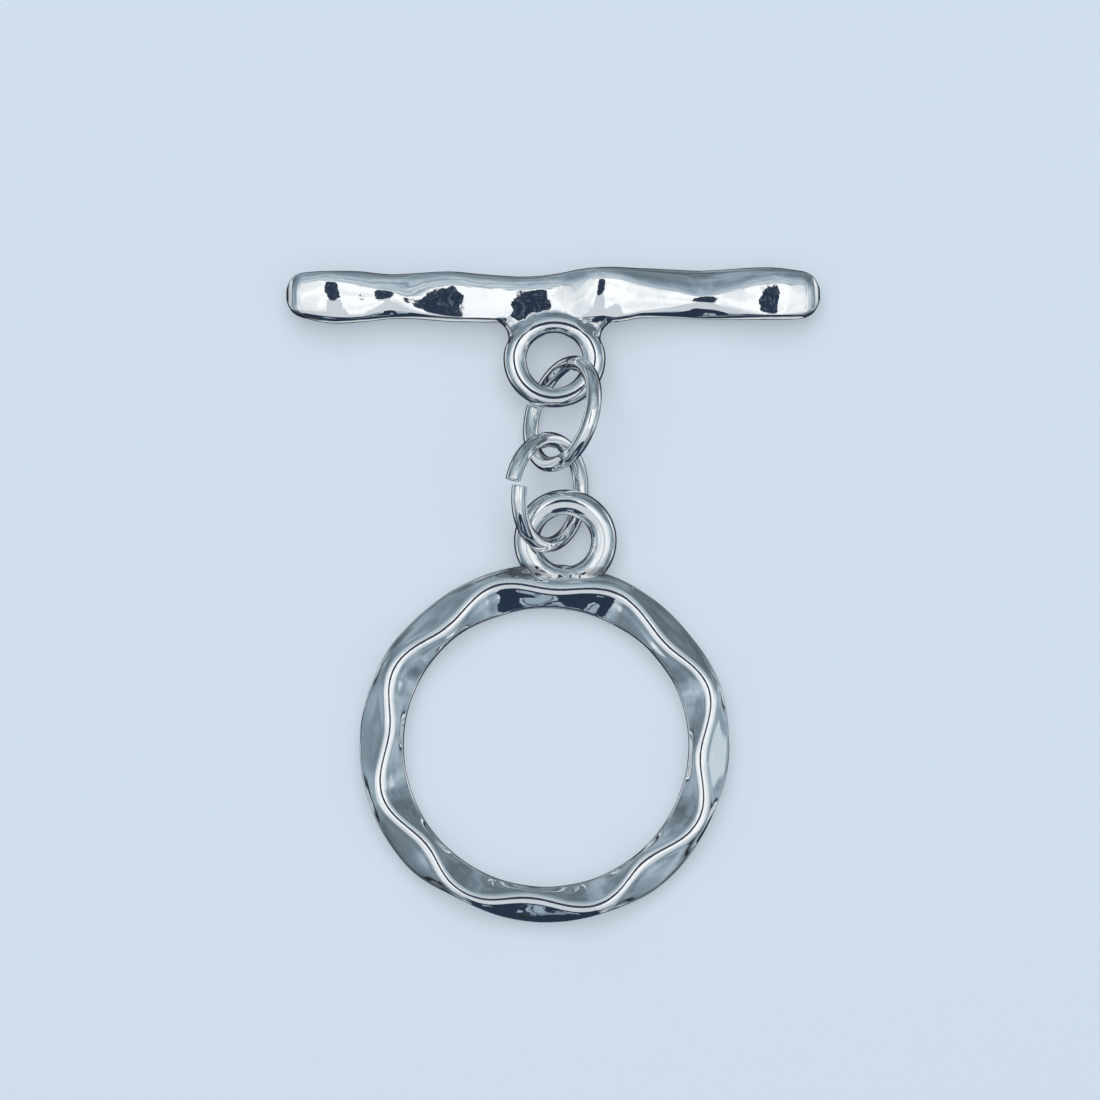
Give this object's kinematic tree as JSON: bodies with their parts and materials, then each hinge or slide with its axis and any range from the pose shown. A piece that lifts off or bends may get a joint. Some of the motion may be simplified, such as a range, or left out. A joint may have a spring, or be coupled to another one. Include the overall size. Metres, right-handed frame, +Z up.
{
  "type": "toggle clasp",
  "caption": "Hammered toggle clasp: a crossbar and a wavy-crested ring, each with a soldered eye, joined by round-wire jump rings.",
  "frame": {"origin": "on the surface the clasp lies on, under the middle of the whole", "axes": "+Z up from the surface, +Y from the toggle ring towards the crossbar, +X along the crossbar"},
  "size_m": [0.0348, 0.0426, 0.0067],
  "materials": {
    "cast_bar": "bright plated casting, hammered and tumbled smooth",
    "cast_ring": "bright plated casting, smooth",
    "round_wire": "bright plated drawn wire"
  },
  "bodies": {
    "root": {"toggle_bar": "cast_bar", "upper_jump_ring": "round_wire", "lower_jump_ring": "round_wire", "toggle_ring": "cast_ring"}
  },
  "joints": []
}
